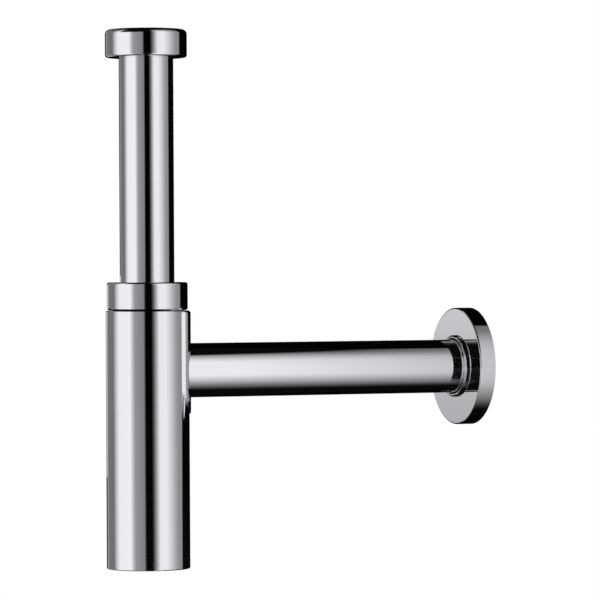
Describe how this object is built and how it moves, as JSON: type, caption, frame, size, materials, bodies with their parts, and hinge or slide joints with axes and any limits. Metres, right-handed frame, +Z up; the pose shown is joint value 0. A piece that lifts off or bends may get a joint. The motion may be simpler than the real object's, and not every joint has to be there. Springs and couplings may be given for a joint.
{
  "type": "bottle waste trap",
  "caption": "Chrome bottle trap for a washbasin, with a sliding cover sleeve over a plastic body, a screw-off cleaning cup, an adjustable inlet tube and a wall rosette.",
  "frame": {"origin": "where the outlet tube's axis meets the plane of the wall", "axes": "+X along the outlet tube into the wall, +Z up, parallel to the inlet tube"},
  "size_m": [0.2345, 0.0706, 0.3158],
  "materials": {
    "chrome": "polished",
    "body_plastic": "fine moulded",
    "slip_plastic": "smooth moulded",
    "rubber": "smooth moulded"
  },
  "bodies": {
    "trap": {"trap_body": "body_plastic", "dip_tube": "body_plastic", "outlet_shield": "chrome", "outlet_tube": "chrome", "outlet_o_ring_inner": "rubber", "outlet_o_ring_outer": "rubber", "sleeve_grip_ring": "rubber"},
    "inlet": {"inlet_tube": "chrome", "basin_washer": "rubber"},
    "basin_ring": {"basin_slip_ring": "slip_plastic"},
    "basin_nut": {"basin_union_nut": "chrome"},
    "cap_seal": {"inlet_cone_seal": "rubber", "cap_slip_ring": "slip_plastic"},
    "cap": {"cap_nut": "chrome"},
    "gasket": {"cup_gasket": "rubber"},
    "cup": {"cleaning_cup": "body_plastic", "cup_centering_ring": "rubber"},
    "sleeve": {"cover_sleeve": "chrome"},
    "rosette_ring": {"rosette_o_ring": "rubber"},
    "rosette": {"wall_rosette": "chrome"}
  },
  "joints": [
    {"name": "inlet_height", "type": "slide", "parent": "trap", "child": "inlet", "axis": [0, 0, 1], "range_m": [-0.015, 0.02]},
    {"name": "basin_ring_slide", "type": "slide", "parent": "inlet", "child": "basin_ring", "axis": [0, 0, 1], "range_m": [-0.1, 0]},
    {"name": "basin_nut_turn", "type": "hinge", "parent": "basin_ring", "child": "basin_nut", "pos_m": [-0.21, 0, 0.192], "axis": [0, 0, 1], "continuous": true},
    {"name": "cap_lift", "type": "slide", "parent": "trap", "child": "cap_seal", "axis": [0, 0, 1], "range_m": [0, 0.0125]},
    {"name": "cap_turn", "type": "hinge", "parent": "cap_seal", "child": "cap", "pos_m": [-0.21, 0, 0.043], "axis": [0, 0, 1], "range_deg": [0, 1800]},
    {"name": "cup_drop", "type": "slide", "parent": "trap", "child": "gasket", "axis": [0, 0, -1], "range_m": [0, 0.02]},
    {"name": "cup_turn", "type": "hinge", "parent": "gasket", "child": "cup", "pos_m": [-0.21, 0, -0.08], "axis": [0, 0, -1], "range_deg": [0, 1800]},
    {"name": "sleeve_slide", "type": "slide", "parent": "trap", "child": "sleeve", "axis": [0, 0, 1], "range_m": [-0.15, 0]},
    {"name": "rosette_slide", "type": "slide", "parent": "trap", "child": "rosette_ring", "axis": [1, 0, 0], "range_m": [-0.16, 0]},
    {"name": "rosette_turn", "type": "hinge", "parent": "rosette_ring", "child": "rosette", "pos_m": [-0.0054, 0, 0], "axis": [1, 0, 0], "continuous": true}
  ],
  "couplings": [
    {"joint": "cap_turn", "follows": "cap_lift", "rad_per_m": 2513.3},
    {"joint": "cup_turn", "follows": "cup_drop", "rad_per_m": 1570.8}
  ]
}
